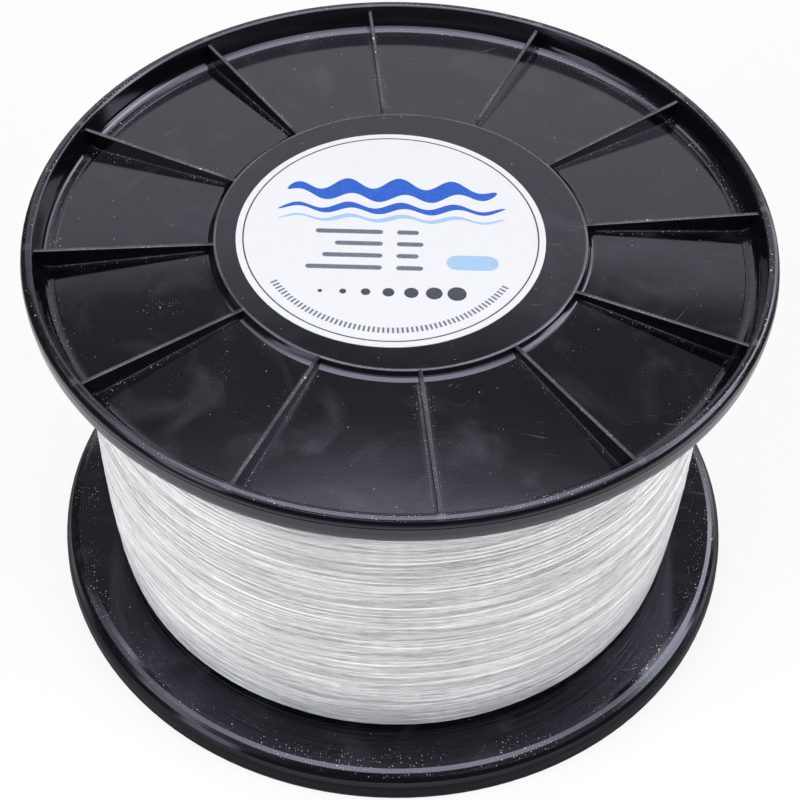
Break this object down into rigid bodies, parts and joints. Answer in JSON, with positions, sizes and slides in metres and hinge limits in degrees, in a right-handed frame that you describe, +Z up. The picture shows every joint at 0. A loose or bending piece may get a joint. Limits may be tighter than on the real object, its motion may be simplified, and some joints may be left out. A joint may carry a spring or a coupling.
{
  "type": "fishing line spool",
  "caption": "Large flanged spool wound with clear fishing line, with ribbed black flanges, a drum, a bored arbor and a round paper label.",
  "frame": {"origin": "centre of the bottom, on the spool's axis, in the plane of the lower lip's crest", "axes": "+Z up along the spool's axis; +X along the first rib of the upper flange"},
  "size_m": [0.19, 0.19, 0.1165],
  "materials": {
    "flange_plastic": "moulded high-impact polystyrene, glossy black",
    "arbor_plastic": "extruded polypropylene, natural",
    "tape": "masking tape",
    "line": "clear nylon monofilament",
    "label_paper": "coated printed paper"
  },
  "bodies": {
    "root": {"upper_flange": "flange_plastic", "lower_flange": "flange_plastic", "core_drum": "flange_plastic", "arbor_tube": "arbor_plastic", "start_tape": "tape", "line_pack": "line", "line_turns": "line", "label": "label_paper"}
  },
  "joints": []
}
